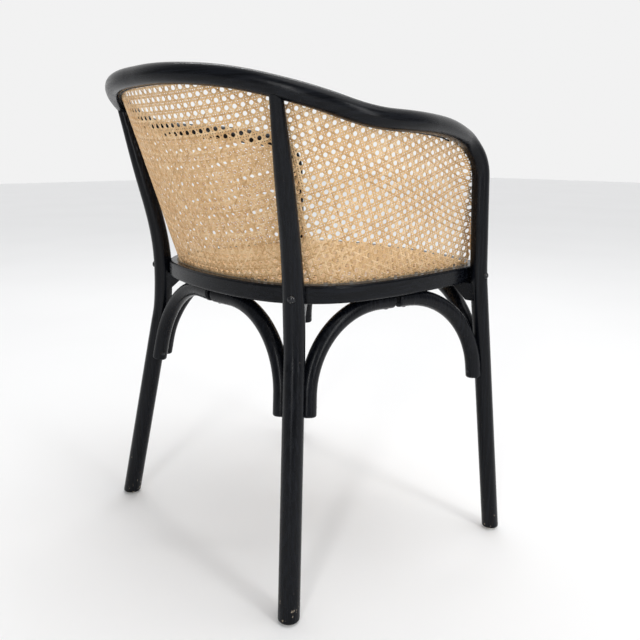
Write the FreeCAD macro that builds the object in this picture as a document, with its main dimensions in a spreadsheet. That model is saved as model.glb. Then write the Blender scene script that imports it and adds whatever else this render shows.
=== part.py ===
import FreeCAD, Part
import math
import os
from FreeCAD import Placement, Rotation, Vector

# Bentwood armchair with a cane seat and a wrapped cane back, standing on the
# floor with its four feet at height zero. The sitter faces -Y, +X is the
# sitter's left, +Z is up, and every length is in millimetres.

# Driving sizes
SIZES = [
    # seat ring: a flat hoop whose plan is made of arcs that run into each other
    ("seat_height", 450.0),
    ("ring_height", 26.0),
    ("ring_width", 45.0),
    ("ring_half_width", 229.0),
    ("ring_widest_y", -61.0),
    ("ring_back_y", 175.5),
    ("ring_front_y", -279.0),
    ("ring_back_radius", 510.0),
    ("ring_side_radius", 880.0),
    ("ring_front_radius", 518.0),
    ("rear_corner_radius", 140.0),
    ("front_corner_radius", 60.0),
    ("ring_edge_round", 4.0),
    # rods
    ("hoop_diameter", 27.0),
    ("rear_leg_diameter", 30.6),
    ("rear_leg_top_diameter", 17.5),
    ("rear_taper_start", 437.0),
    ("rear_leg_neck_diameter", 25.5),
    ("rear_leg_neck_height", 600.0),
    ("foot_round", 2.5),
    # rear legs: straight from the foot, one long bend at the seat, straight to the rail
    ("rear_foot_x", 244.0),
    ("rear_foot_y", 199.5),
    ("rear_leg_bearing", 49.0),
    ("rear_bend_radius", 450.0),
    ("rear_top_bearing", 41.8),
    ("rear_top_outset", 3.0),
    # hoop: front legs, posts, arms and crest in one bent rod
    ("front_foot_x", 266.0),
    ("front_foot_y", -220.5),
    ("front_leg_bearing", -8.7),
    ("front_bend_radius", 600.0),
    ("post_top_x", 231.0),
    ("post_top_y", -189.5),
    ("post_top_height", 614.0),
    ("arm_front_x", 229.0),
    ("arm_front_y", -158.0),
    ("arm_front_height", 646.5),
    ("arm_middle_x", 262.0),
    ("arm_middle_y", -75.0),
    ("arm_middle_height", 662.5),
    ("arm_wide_x", 287.0),
    ("arm_wide_y", 20.0),
    ("arm_wide_height", 667.5),
    ("arm_turn_x", 281.5),
    ("arm_turn_y", 93.5),
    ("arm_turn_height", 670.0),
    ("crest_rise_x", 247.5),
    ("crest_rise_y", 160.0),
    ("crest_rise_height", 694.5),
    ("crest_shoulder_x", 168.5),
    ("crest_shoulder_y", 225.0),
    ("crest_shoulder_height", 720.0),
    ("crest_end_x", 69.0),
    ("crest_y", 265.5),
    ("crest_height", 729.5),
    ("bend_share", 0.48),
    # cane and the reed splines that hold it in its grooves
    ("cane_thickness", 2.2),
    ("back_cane_inset", 17.0),
    ("back_cane_depth", 6.0),
    ("back_cane_front_y", -206.0),
    ("post_cane_height", 490.0),
    ("post_fan", 0.07),
    ("post_fan_reach", 0.03),
    ("cane_inward_pull", 0.75),
    ("cane_rail_gap", 1.0),
    ("seat_cane_inset", 25.0),
    ("seat_cane_depth", 5.0),
    ("reed_width", 2.6),
    ("rail_reed_width", 1.8),
    ("rail_reed_height", 2.0),
    ("reed_proud", 0.6),
    ("reed_gap", 0.4),
    ("groove_floor", 1.0),
    ("groove_run_out", 4.0),
    # plain square openings that stand for the weave's
    ("seat_opening_pitch", 36.0),
    ("seat_opening", 20.0),
    ("seat_opening_border", 8.0),
    ("back_opening", 40.0),
    ("back_opening_rise", 30.0),
    # brackets: round rods bent to a quarter turn between leg and ring
    ("bracket_diameter", 24.5),
    ("bracket_bend_radius", 134.0),
    ("bracket_low_height", 273.0),
    ("bracket_land", 3.0),
    ("bracket_leg_land", 4.5),
    ("bracket_end_round", 3.5),
    ("bracket_gap", 7.0),
    ("bracket_ring_inset", 21.0),
    # wedge blocks glued under the ring behind each leg
    ("block_root", 15.0),
    ("block_length", 41.0),
    ("block_height", 28.0),
    ("block_toe", 4.0),
    ("block_width", 24.0),
    # bolts, nuts, washers, screws and glides
    ("bolt_diameter", 6.0),
    ("bolt_head_diameter", 11.5),
    ("bolt_head_height", 4.2),
    ("bolt_seat_depth", 1.2),
    ("washer_diameter", 15.0),
    ("washer_thickness", 1.5),
    ("nut_across_flats", 10.0),
    ("nut_thickness", 5.0),
    ("thread_past_nut", 3.0),
    ("washer_seat_depth", 2.0),
    ("screw_diameter", 3.6),
    ("screw_head_diameter", 7.0),
    ("screw_head_height", 1.0),
    ("screw_bite", 13.0),
    ("screw_end_distance", 13.0),
    ("glide_diameter", 21.0),
    ("glide_height", 3.0),
    ("glide_round", 0.8),
    # clearances
    ("contact_gap", 0.3),
    ("hole_gap", 0.25),
]

doc = FreeCAD.newDocument("bentwood_armchair")
sheet = doc.addObject("Spreadsheet::Sheet", "sizes")
for row, (alias, value) in enumerate(SIZES, 1):
    sheet.set("A%d" % row, alias)
    sheet.set("B%d" % row, str(value))
    sheet.setAlias("B%d" % row, alias)
doc.recompute()

# Labels of the finished pieces, in the order they are put together
NODES = []


def size(alias):
    """A driving size as a number."""
    return float(sheet.get(alias))


def piece(label, shape):
    """A finished piece whose bent shape is worked out below."""
    feature = doc.addObject("Part::Feature", label)
    feature.Label = label
    feature.Shape = shape
    NODES.append(feature)
    return feature


def mirrored(shape):
    """The same shape on the other side of the chair's middle plane."""
    return shape.mirror(Vector(0, 0, 0), Vector(1, 0, 0))


def pointing(direction):
    """The turn that lays a piece made along +Z along a direction."""
    return Rotation(Vector(0, 0, 1), direction)


def new_body(name):
    """An empty body with a lookup of its own origin planes."""
    body = doc.addObject("PartDesign::Body", name)
    planes = {item.Role: item for item in body.Origin.OriginFeatures}
    return body, planes


def sketch_on(body, plane, name):
    """A sketch that lies on one of the body's own origin planes."""
    sketch = body.newObject("Sketcher::SketchObject", name)
    sketch.AttachmentSupport = [(plane, "")]
    sketch.MapMode = "FlatFace"
    return sketch


# Seat ring outline


def meeting_point(centre_a, reach_a, centre_b, reach_b, toward_back):
    """Where two circles cross, taking the crossing nearer the back or the front."""
    across = centre_b - centre_a
    along = (reach_a**2 - reach_b**2 + across.Length**2) / (2 * across.Length)
    aside = math.sqrt(reach_a**2 - along**2)
    unit = Vector(across).normalize()
    normal = Vector(-unit.y, unit.x, 0)
    middle = centre_a + unit * along
    crossings = [middle + normal * aside, middle - normal * aside]
    return sorted(crossings, key=lambda point: point.y)[1 if toward_back else 0]


def bearing(origin, point):
    """Angle in degrees from +X, seen from above."""
    return math.degrees(math.atan2(point.y - origin.y, point.x - origin.x))


back_centre = Vector(0, size("ring_back_y") - size("ring_back_radius"), 0)
front_centre = Vector(0, size("ring_front_y") + size("ring_front_radius"), 0)
side_centre = Vector(size("ring_half_width") - size("ring_side_radius"), size("ring_widest_y"), 0)
rear_corner = meeting_point(
    back_centre, size("ring_back_radius") - size("rear_corner_radius"),
    side_centre, size("ring_side_radius") - size("rear_corner_radius"), True)
front_corner = meeting_point(
    front_centre, size("ring_front_radius") - size("front_corner_radius"),
    side_centre, size("ring_side_radius") - size("front_corner_radius"), False)

# Each arc of the left half: centre, radius, bearing where it starts and ends
HALF_OUTLINE = [
    (back_centre, size("ring_back_radius"), 90.0, bearing(back_centre, rear_corner)),
    (rear_corner, size("rear_corner_radius"), bearing(back_centre, rear_corner),
     bearing(side_centre, rear_corner)),
    (side_centre, size("ring_side_radius"), bearing(side_centre, rear_corner),
     bearing(side_centre, front_corner)),
    (front_corner, size("front_corner_radius"), bearing(side_centre, front_corner),
     bearing(front_centre, front_corner)),
    (front_centre, size("ring_front_radius"), bearing(front_centre, front_corner), -90.0),
]


def on_circle(centre, radius, degrees):
    """A point of a circle at a bearing."""
    angle = math.radians(degrees)
    return centre + Vector(radius * math.cos(angle), radius * math.sin(angle), 0)


def outline_arcs(inset, front_y=None):
    """Arcs of the ring's outline moved inwards; with front_y they stop there on both sides."""
    half = []
    for centre, radius, start, end in HALF_OUTLINE:
        reach = radius - inset
        if front_y is not None:
            if on_circle(centre, reach, start).y <= front_y:
                break
            if on_circle(centre, reach, end).y < front_y:
                end = math.degrees(math.asin((front_y - centre.y) / reach))
        middle = (start + end) / 2
        half.append([on_circle(centre, reach, angle) for angle in (start, middle, end)])
    flip = [[Vector(-point.x, point.y, 0) for point in reversed(arc)] for arc in reversed(half)]
    return [Part.Arc(*arc) for arc in flip + half]


def outline_wire(inset):
    """The closed outline of the ring, moved inwards."""
    return Part.Wire(Part.__sortEdges__([arc.toShape() for arc in outline_arcs(inset)]))


def add_outline(sketch, inset):
    """Draws a closed outline in a sketch."""
    sketch.addGeometry(outline_arcs(inset), False)


def add_open_band(sketch, outer_inset, inner_inset, front_y):
    """Draws a band round the back that ends at the posts."""
    outer = outline_arcs(outer_inset, front_y)
    inner = outline_arcs(inner_inset, front_y)
    ends = [Part.LineSegment(outer[0].StartPoint, inner[0].StartPoint),
            Part.LineSegment(outer[-1].EndPoint, inner[-1].EndPoint)]
    sketch.addGeometry(outer + inner + ends, False)


# Bent rod paths


def corner_arc(before, corner, after, radius, share):
    """The arc that rounds a corner: by radius, or by its share of the shorter run."""
    into = (before - corner)
    out = (after - corner)
    shorter = min(into.Length, out.Length)
    into.normalize()
    out.normalize()
    turn = math.pi - into.getAngle(out)
    tangent = share * shorter if radius is None else radius * math.tan(turn / 2)
    reach = tangent / math.tan(turn / 2)
    bisector = (into + out).normalize()
    middle = corner + bisector * (reach / math.cos(turn / 2) - reach)
    return corner + into * tangent, middle, corner + out * tangent


def bent_path(points, radii):
    """Straight runs joined by arcs that run smoothly into them."""
    edges = []
    last = points[0]
    for before, corner, after, radius in zip(points, points[1:], points[2:], radii):
        start, middle, end = corner_arc(before, corner, after, radius, size("bend_share"))
        edges.append(Part.LineSegment(last, start).toShape())
        edges.append(Part.Arc(start, middle, end).toShape())
        last = end
    edges.append(Part.LineSegment(last, points[-1]).toShape())
    return Part.Wire(edges)


def rod_along(path, diameter):
    """A round rod of one diameter that follows a path."""
    first = path.Edges[0]
    start = first.valueAt(first.FirstParameter)
    ring = Part.Wire(Part.makeCircle(diameter / 2, start, first.tangentAt(first.FirstParameter)))
    return path.makePipeShell([ring], True, False)


def above(shape, height):
    """The part of a shape above a level."""
    box = shape.BoundBox
    margin = size("ring_half_width")
    keep = Part.makeBox(
        box.XLength + 2 * margin, box.YLength + 2 * margin, box.ZMax + margin - height,
        Vector(box.XMin - margin, box.YMin - margin, height))
    return shape.common(keep)


def level_edge(shape, height):
    """The edges of a shape that lie wholly at one level."""
    return [edge for edge in shape.Edges
            if abs(edge.BoundBox.ZMin - height) < 0.01 and abs(edge.BoundBox.ZMax - height) < 0.01]


# Where each leg stands and bolts to the ring
hoop_radius = size("hoop_diameter") / 2
rear_radius = size("rear_leg_diameter") / 2
bolt_height = size("seat_height") - size("ring_height") / 2
ring_bottom = size("seat_height") - size("ring_height")
up_bolt = Vector(0, 0, bolt_height)
rear_out = on_circle(Vector(0, 0, 0), 1.0, size("rear_leg_bearing"))
front_out = on_circle(Vector(0, 0, 0), 1.0, size("front_leg_bearing"))
rear_seat_point = rear_corner + up_bolt + rear_out * (
    size("rear_corner_radius") + rear_radius + size("contact_gap"))
front_seat_point = side_centre + up_bolt + front_out * (
    size("ring_side_radius") + hoop_radius + size("contact_gap"))
rear_foot = Vector(size("rear_foot_x"), size("rear_foot_y"), 0)
front_foot = Vector(size("front_foot_x"), size("front_foot_y"), 0)

# Hoop
hoop_half = [
    front_foot,
    front_seat_point,
    Vector(size("post_top_x"), size("post_top_y"), size("post_top_height")),
    Vector(size("arm_front_x"), size("arm_front_y"), size("arm_front_height")),
    Vector(size("arm_middle_x"), size("arm_middle_y"), size("arm_middle_height")),
    Vector(size("arm_wide_x"), size("arm_wide_y"), size("arm_wide_height")),
    Vector(size("arm_turn_x"), size("arm_turn_y"), size("arm_turn_height")),
    Vector(size("crest_rise_x"), size("crest_rise_y"), size("crest_rise_height")),
    Vector(size("crest_shoulder_x"), size("crest_shoulder_y"), size("crest_shoulder_height")),
    Vector(size("crest_end_x"), size("crest_y"), size("crest_height")),
]
hoop_points = hoop_half + [Vector(-point.x, point.y, point.z) for point in reversed(hoop_half)]
hoop_radii = [None] * (len(hoop_points) - 2)
hoop_radii[0] = size("front_bend_radius")
hoop_radii[-1] = size("front_bend_radius")
hoop_path = bent_path(hoop_points, hoop_radii)

PATH_STEPS = 4000
hoop_trail = hoop_path.discretize(Number=PATH_STEPS + 1)


def hoop_at(fraction):
    """Point and direction on the hoop at a fraction of its length from the left foot."""
    index = min(max(round(fraction * PATH_STEPS), 1), PATH_STEPS - 1)
    direction = (hoop_trail[index + 1] - hoop_trail[index - 1]).normalize()
    return hoop_trail[index], direction


# Rear leg
half_trail = hoop_trail[:PATH_STEPS // 2]
rail_over_leg = min(
    (point for point in half_trail if point.y > 0),
    key=lambda point: abs(bearing(Vector(0, 0, 0), point) - size("rear_top_bearing")))
rear_top = rail_over_leg + on_circle(
    Vector(0, 0, 0), size("rear_top_outset"), size("rear_top_bearing"))


def rear_bend():
    """The knee of the rear leg, set so that its bend just meets the ring at the bolt."""
    knee = Vector(rear_seat_point)
    for _ in range(12):
        _, middle, _ = corner_arc(rear_foot, knee, rear_top, size("rear_bend_radius"), None)
        slip = rear_seat_point - middle
        knee = knee + Vector(slip.x, slip.y, slip.z)
    return knee


rear_knee = rear_bend()
leg_path = bent_path([rear_foot, rear_knee, rear_top], [size("rear_bend_radius")])


def rear_leg_diameter_at(height):
    """Full at the foot, a little slimmer at the seat, tapering fast above the neck."""
    stops = [
        (0.0, size("rear_leg_diameter")),
        (size("rear_taper_start"), size("rear_leg_diameter")),
        (size("rear_leg_neck_height"), size("rear_leg_neck_diameter")),
        (rail_over_leg.z, size("rear_leg_top_diameter")),
    ]
    for (low, wide), (high, narrow) in zip(stops, stops[1:]):
        if height <= high:
            return wide + (narrow - wide) * (height - low) / (high - low)
    return stops[-1][1]


BEND_SECTIONS = 4
NECK_SECTIONS = 2


def rear_leg_blank():
    """The left rear leg: straight to its bend, then a loft through circles to the rail."""
    lower, bend, upper = leg_path.Edges
    foot_end = lower.valueAt(lower.FirstParameter)
    bend_start = lower.valueAt(lower.LastParameter)
    rise = (bend_start - foot_end).normalize()
    below = foot_end - rise * size("hoop_diameter")
    straight = Part.makeCylinder(
        size("rear_leg_diameter") / 2, (bend_start - below).Length, below, rise)
    spots = [(bend, step / BEND_SECTIONS) for step in range(BEND_SECTIONS + 1)]
    spots += [(upper, (step + 1) / (NECK_SECTIONS + 1)) for step in range(NECK_SECTIONS + 1)]
    rings = []
    for edge, share in spots:
        place = edge.FirstParameter + share * (edge.LastParameter - edge.FirstParameter)
        point = edge.valueAt(place)
        radius = rear_leg_diameter_at(point.z) / 2
        rings.append(Part.Wire(Part.makeCircle(radius, point, edge.tangentAt(place))))
    return straight.fuse(Part.makeLoft(rings, True, False)).removeSplitter()


# Fasteners, each made once along +Z and then set in its places


def fastener(name, outline):
    """A turned fastener: a half outline spun round the body's own Z axis."""
    body, planes = new_body(name)
    sketch = sketch_on(body, planes["XZ_Plane"], name + "_outline")
    points = [Vector(across, along, 0) for across, along in outline]
    sides = [Part.LineSegment(a, b) for a, b in zip(points, points[1:] + points[:1])]
    sketch.addGeometry(sides, False)
    turn = body.newObject("PartDesign::Revolution", name + "_turn")
    turn.Profile = sketch
    turn.ReferenceAxis = (sketch, ["V_Axis"])
    turn.Angle = 360.0
    doc.recompute()
    return body


def dome(diameter, height, base):
    """Half outline of a domed head that stands on a level."""
    steps = 5
    radius = diameter / 2
    return [(radius * math.cos(math.radians(90 * step / steps)),
             base + height * math.sin(math.radians(90 * step / steps)))
            for step in range(steps + 1)]


rear_grip = 2 * rear_radius + size("contact_gap") + size("ring_width")
front_grip = 2 * hoop_radius + size("contact_gap") + size("ring_width")


def bolt_outline(grip):
    """Domed head at the top, shank down through leg and ring."""
    length = (grip - size("bolt_seat_depth") - size("washer_seat_depth") + size("washer_thickness")
              + size("nut_thickness") + size("thread_past_nut"))
    shank = size("bolt_diameter") / 2
    return [(0, -length), (shank, -length), (shank, 0)] + dome(
        size("bolt_head_diameter"), size("bolt_head_height"), 0)


rear_bolt = fastener("rear_bolt", bolt_outline(rear_grip))
front_bolt = fastener("front_bolt", bolt_outline(front_grip))
screw_shank = size("screw_diameter") / 2
screw_length = (size("bracket_diameter") - size("bracket_leg_land") + size("contact_gap")
                + size("screw_bite"))
low_screw = fastener(
    "low_screw",
    [(0, -screw_length), (screw_shank, -screw_length), (screw_shank, 0)]
    + dome(size("screw_head_diameter"), size("screw_head_height"), 0))
high_length = size("bracket_diameter") - size("bracket_land") + size("screw_bite")
high_screw = fastener(
    "high_screw",
    [(0, -high_length), (screw_shank, -high_length), (screw_shank, 0)]
    + dome(size("screw_head_diameter"), size("screw_head_height"), 0))

bore = size("bolt_diameter") / 2 + size("hole_gap")
washer = doc.addObject("Part::Cylinder", "washer_disc")
washer.setExpression("Radius", "sizes.washer_diameter / 2")
washer.setExpression("Height", "sizes.washer_thickness")
washer_hole = doc.addObject("Part::Cylinder", "washer_hole")
washer_hole.setExpression("Radius", "sizes.bolt_diameter / 2 + sizes.hole_gap")
washer_hole.setExpression("Height", "sizes.washer_thickness")
washer_ring = doc.addObject("Part::Cut", "washer_ring")
washer_ring.Base = washer
washer_ring.Tool = washer_hole

nut = doc.addObject("Part::Prism", "nut_block")
nut.Polygon = 6
nut.setExpression("Circumradius", "sizes.nut_across_flats / sqrt(3)")
nut.setExpression("Height", "sizes.nut_thickness")
nut_hole = doc.addObject("Part::Cylinder", "nut_hole")
nut_hole.setExpression("Radius", "sizes.bolt_diameter / 2 + sizes.hole_gap")
nut_hole.setExpression("Height", "sizes.nut_thickness")
nut_ring = doc.addObject("Part::Cut", "nut_ring")
nut_ring.Base = nut
nut_ring.Tool = nut_hole

glide = doc.addObject("Part::Cylinder", "glide_disc")
glide.setExpression("Radius", "sizes.glide_diameter / 2")
glide.setExpression("Height", "sizes.glide_height")
doc.recompute()


def placed(shape, point, direction):
    """A copy of a shape made along +Z, set at a point and turned to a direction."""
    copy = shape.copy()
    copy.Placement = Placement(point, pointing(direction)).multiply(copy.Placement)
    return copy


def cylinder_from(point, direction, length, radius):
    """A round cutter that starts at a point."""
    return Part.makeCylinder(radius, length, point, direction)


def leg_cutters(seat_point, out, radius):
    """The bolt hole through a leg and the flat that its head sits on."""
    far = 4 * radius
    hole = cylinder_from(seat_point - out * far / 2, out, far, bore)
    seat = cylinder_from(
        seat_point + out * (radius - size("bolt_seat_depth")), out, far,
        size("bolt_head_diameter") / 2 + size("hole_gap"))
    return [hole, seat]


def washer_level(radius):
    """How far inside the leg's axis the washer bears on the ring."""
    return radius + size("contact_gap") + size("ring_width") - size("washer_seat_depth")


def ring_cutters(seat_point, out, radius):
    """The bolt hole through the ring and the flat that its washer sits on."""
    hole = cylinder_from(seat_point, out * -1, radius + 2 * size("ring_width"), bore)
    seat = cylinder_from(
        seat_point - out * washer_level(radius), out * -1, size("ring_width"),
        size("washer_diameter") / 2 + size("hole_gap"))
    return [hole, seat]


# Brackets: low end on a leg, high end under the ring, halfway to the next leg
bracket_radius = size("bracket_diameter") / 2
bracket_level = ring_bottom - bracket_radius + size("bracket_land")


def leg_line(foot, knee, height):
    """Point of a leg's straight lower run at a height."""
    return foot + (knee - foot) * (height / knee.z)


def span_middle(first, second):
    """The point under the ring's middle line, halfway between two legs."""
    lane = outline_wire(size("bracket_ring_inset")).discretize(Number=721)
    middle = (first + second) * 0.5
    nearest = min(lane, key=lambda point: math.hypot(point.x - middle.x, point.y - middle.y))
    return Vector(nearest.x, nearest.y, bracket_level)


front_left = (front_foot, front_seat_point, hoop_radius)
rear_left = (rear_foot, rear_knee, rear_radius)
front_right = tuple(
    Vector(-item.x, item.y, item.z) if isinstance(item, Vector) else item for item in front_left)
rear_right = tuple(
    Vector(-item.x, item.y, item.z) if isinstance(item, Vector) else item for item in rear_left)


def bracket_path(leg, partner):
    """Points of a bracket's path: on the leg, at the bend and under the ring."""
    foot, knee, radius = leg
    low = leg_line(foot, knee, size("bracket_low_height"))
    top = leg_line(foot, knee, bracket_level)
    target = span_middle(leg[1], partner[1])
    toward = Vector(target.x - top.x, target.y - top.y, 0).normalize()
    rise = (knee - foot).normalize()
    across = (toward - rise * toward.dot(rise)).normalize()
    offset = across * (
        radius + bracket_radius - size("bracket_leg_land") + size("contact_gap"))
    low = low + offset
    corner = top + offset
    corner.z = bracket_level
    last = target - Vector(target.x - corner.x, target.y - corner.y, 0).normalize() * (
        size("bracket_gap") / 2)
    return low, corner, last, across


def bracket_parts(leg, partner):
    """A bracket's solid and the two screws that hold it."""
    low, corner, last, across = bracket_path(leg, partner)
    path = bent_path([low, corner, last], [size("bracket_bend_radius")])
    rod = rod_along(path, size("bracket_diameter"))
    ends = [edge for edge in rod.Edges
            if min(edge.CenterOfMass.distanceToPoint(low),
                   edge.CenterOfMass.distanceToPoint(last)) < size("contact_gap")]
    rod = rod.makeFillet(size("bracket_end_round"), ends)
    foot, knee, radius = leg
    rod = rod.cut(cylinder_from(
        foot, (knee - foot).normalize(), (knee - foot).Length, radius + size("contact_gap")))
    reach = 2 * size("ring_half_width")
    slab = Part.makeBox(
        2 * reach, 2 * reach, size("bracket_diameter"), Vector(-reach, -reach, ring_bottom))
    rod = rod.cut(slab)
    rise = (corner - low).normalize()
    run = (last - corner).normalize()
    low_axis = low + rise * size("screw_end_distance")
    high_axis = last - run * size("screw_end_distance")
    low_head = low_axis + across * bracket_radius
    high_head = high_axis - Vector(0, 0, bracket_radius)
    hole = screw_shank + size("hole_gap")
    low_hole = cylinder_from(low_head + across * 5, across * -1, screw_length + 6, hole)
    high_hole = cylinder_from(
        high_head - Vector(0, 0, 5), Vector(0, 0, 1), high_length + 6, hole)
    rod = rod.cut(Part.makeCompound([low_hole, high_hole]))
    screws = [placed(low_screw.Shape, low_head, across),
              placed(high_screw.Shape, high_head, Vector(0, 0, -1))]
    return rod, screws, low_hole, high_hole


BRACKETS = [
    ("bracket_rear_left_back", rear_left, rear_right),
    ("bracket_rear_left_side", rear_left, front_left),
    ("bracket_front_left_side", front_left, rear_left),
    ("bracket_front_left_front", front_left, front_right),
]

bracket_solids = {}
bracket_screws = []
rear_holes = []
front_holes = []
ring_holes = []
for label, leg, partner in BRACKETS:
    rod, screws, low_hole, high_hole = bracket_parts(leg, partner)
    bracket_solids[label] = rod
    bracket_screws += screws
    (rear_holes if leg is rear_left else front_holes).append(low_hole)
    ring_holes.append(high_hole)

# Hoop rod: feet cut level on their glides, a flat and a hole for each bolt
hoop_start = leg_line(front_foot, front_seat_point, -size("hoop_diameter"))
hoop_end = Vector(-hoop_start.x, hoop_start.y, hoop_start.z)
hoop_rod = rod_along(
    bent_path([hoop_start] + hoop_points[1:-1] + [hoop_end], hoop_radii), size("hoop_diameter"))
hoop_solid = above(hoop_rod, size("glide_height"))
hoop_solid = hoop_solid.makeFillet(
    size("foot_round"), level_edge(hoop_solid, size("glide_height")))
front_cuts = leg_cutters(front_seat_point, front_out, hoop_radius) + front_holes
hoop_cuts = front_cuts + [mirrored(cut) for cut in front_cuts]
piece("hoop_rail", hoop_solid.cut(Part.makeCompound(hoop_cuts)))

# Rear legs: tapered above the seat, their tops hollowed to fit under the rail
rail_room = rod_along(hoop_path, size("hoop_diameter") + 2 * size("contact_gap"))
leg_solid = above(rear_leg_blank(), size("glide_height"))
leg_solid = leg_solid.makeFillet(
    size("foot_round"), level_edge(leg_solid, size("glide_height")))
leg_solid = leg_solid.cut(rail_room)
leg_solid = leg_solid.cut(Part.makeCompound(
    leg_cutters(rear_seat_point, rear_out, rear_radius) + rear_holes))
leg_solid = max(leg_solid.Solids, key=lambda solid: solid.Volume)
piece("rear_leg_left", leg_solid)
piece("rear_leg_right", mirrored(leg_solid))

# Seat ring: flat band with rounded edges and two grooves for the cane
ring_body, ring_planes = new_body("ring_band")
ring_body.setExpression("Placement.Base.z", "sizes.seat_height - sizes.ring_height")
plan = sketch_on(ring_body, ring_planes["XY_Plane"], "ring_plan")
add_outline(plan, 0.0)
add_outline(plan, size("ring_width"))
band = ring_body.newObject("PartDesign::Pad", "band")
band.Profile = plan
band.setExpression("Length", "sizes.ring_height")
doc.recompute()
edges = []
for number, edge in enumerate(band.Shape.Edges, 1):
    flat = edge.BoundBox.ZLength < 0.01
    if flat:
        edges.append("Edge%d" % number)
rounding = ring_body.newObject("PartDesign::Fillet", "edge_rounding")
rounding.Base = (band, edges)
rounding.setExpression("Radius", "sizes.ring_edge_round")
doc.recompute()


def groove(name, outer_inset, inner_inset, depth_expression, front_y=None):
    """A groove sunk in the ring's top face."""
    sketch = sketch_on(ring_body, ring_planes["XY_Plane"], name + "_plan")
    sketch.setExpression("AttachmentOffset.Base.z", "sizes.ring_height")
    if front_y is None:
        add_outline(sketch, outer_inset)
        add_outline(sketch, inner_inset)
    else:
        add_open_band(sketch, outer_inset, inner_inset, front_y)
    pocket = ring_body.newObject("PartDesign::Pocket", name)
    pocket.Profile = sketch
    pocket.setExpression("Length", depth_expression)
    before = ring_body.Shape.Volume
    doc.recompute()
    if ring_body.Shape.Volume >= before:
        raise RuntimeError(name + " cuts nothing")
    return pocket


half_cane = size("cane_thickness") / 2
back_groove_outer = (size("back_cane_inset") - half_cane - size("reed_gap")
                     - size("reed_width") - size("hole_gap"))
back_groove_inner = size("back_cane_inset") + half_cane + size("hole_gap")
seat_groove_outer = size("seat_cane_inset") - size("reed_width") - 2 * size("hole_gap")
seat_groove_inner = size("seat_cane_inset") + size("cane_thickness") + size("hole_gap")
groove("back_groove", back_groove_outer, back_groove_inner,
       "sizes.back_cane_depth + sizes.groove_floor",
       size("back_cane_front_y") - size("groove_run_out"))
groove("seat_groove", seat_groove_outer, seat_groove_inner,
       "sizes.seat_cane_depth + sizes.groove_floor")

ring_cuts = (ring_cutters(rear_seat_point, rear_out, rear_radius)
             + ring_cutters(front_seat_point, front_out, hoop_radius) + ring_holes)
ring_cuts += [mirrored(cut) for cut in ring_cuts]
holes = doc.addObject("Part::Feature", "ring_holes")
holes.Shape = Part.makeCompound(ring_cuts)
seat_ring = doc.addObject("Part::Cut", "seat_ring")
seat_ring.Label = "seat_ring"
seat_ring.Base = ring_body
seat_ring.Tool = holes
doc.recompute()
NODES.append(seat_ring)

# Brackets
for label, solid in bracket_solids.items():
    piece(label, solid)
    piece(label.replace("left", "right"), mirrored(solid))

# Wedge blocks under the ring behind each leg
block_body, block_planes = new_body("wedge")
block_sketch = sketch_on(block_body, block_planes["XZ_Plane"], "wedge_side")
wedge = [(0, 0), (size("block_length"), 0), (size("block_length"), -size("block_toe")),
         (size("block_root"), -size("block_height")), (0, -size("block_height"))]
wedge = [Vector(across, along, 0) for across, along in wedge]
block_sketch.addGeometry(
    [Part.LineSegment(a, b) for a, b in zip(wedge, wedge[1:] + wedge[:1])], False)
block_pad = block_body.newObject("PartDesign::Pad", "wedge_pad")
block_pad.Profile = block_sketch
block_pad.setExpression("Length", "sizes.block_width")
block_pad.Midplane = True
doc.recompute()


def corner_block(label, seat_point, out, leg_run, leg_diameter):
    """A wedge block whose tall end is hollowed to sit against the leg."""
    start = Vector(seat_point.x, seat_point.y, ring_bottom)
    turn = Rotation(Vector(0, 0, 1), math.degrees(math.atan2(-out.y, -out.x)))
    shape = block_body.Shape.copy()
    shape.Placement = Placement(start, turn)
    shape = shape.cut(rod_along(leg_run, leg_diameter + 2 * size("contact_gap")))
    piece(label + "_left", shape)
    piece(label + "_right", mirrored(shape))


front_run = bent_path(hoop_half[:3], [size("front_bend_radius")])
corner_block("corner_block_rear", rear_seat_point, rear_out, leg_path, size("rear_leg_diameter"))
corner_block("corner_block_front", front_seat_point, front_out, front_run, size("hoop_diameter"))

# Seat cane: a flat sheet whose rim turns down into the ring's inner groove
rim = Part.Face(outline_wire(size("seat_cane_inset")))
inner_rim = Part.Face(outline_wire(size("seat_cane_inset") + size("cane_thickness")))
sheet_top = size("seat_height") + size("cane_thickness")
rim.translate(Vector(0, 0, sheet_top))
inner_rim.translate(Vector(0, 0, size("seat_height")))
cane = rim.extrude(Vector(0, 0, -(size("cane_thickness") + size("seat_cane_depth"))))
cane = cane.cut(inner_rim.extrude(Vector(0, 0, -2 * size("seat_cane_depth"))))
open_area = Part.Face(outline_wire(
    size("seat_cane_inset") + size("cane_thickness") + size("seat_opening_border")))
opening = size("seat_opening")
rows = int(size("ring_front_y") / size("seat_opening_pitch")) - 1
columns = int(size("ring_half_width") / size("seat_opening_pitch"))
seat_openings = []
for row in range(rows, -rows):
    for column in range(-columns, columns + 1):
        low = Vector(column * size("seat_opening_pitch") - opening / 2,
                     row * size("seat_opening_pitch") - opening / 2, 0)
        corners = [low, low + Vector(opening, 0, 0), low + Vector(0, opening, 0),
                   low + Vector(opening, opening, 0)]
        if all(open_area.isInside(corner, size("contact_gap"), True) for corner in corners):
            seat_openings.append(Part.makeBox(
                opening, opening, 4 * size("cane_thickness"),
                low + Vector(0, 0, size("seat_height") - size("cane_thickness"))))
piece("seat_cane", cane.cut(Part.makeCompound(seat_openings)))


def reed_band(outer_inset, inner_inset, top, bottom):
    """A reed that fills a closed groove beside the cane."""
    outer = Part.Face(outline_wire(outer_inset))
    inner = Part.Face(outline_wire(inner_inset))
    flat = outer.cut(inner)
    flat.translate(Vector(0, 0, bottom))
    return flat.extrude(Vector(0, 0, top - bottom))


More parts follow.
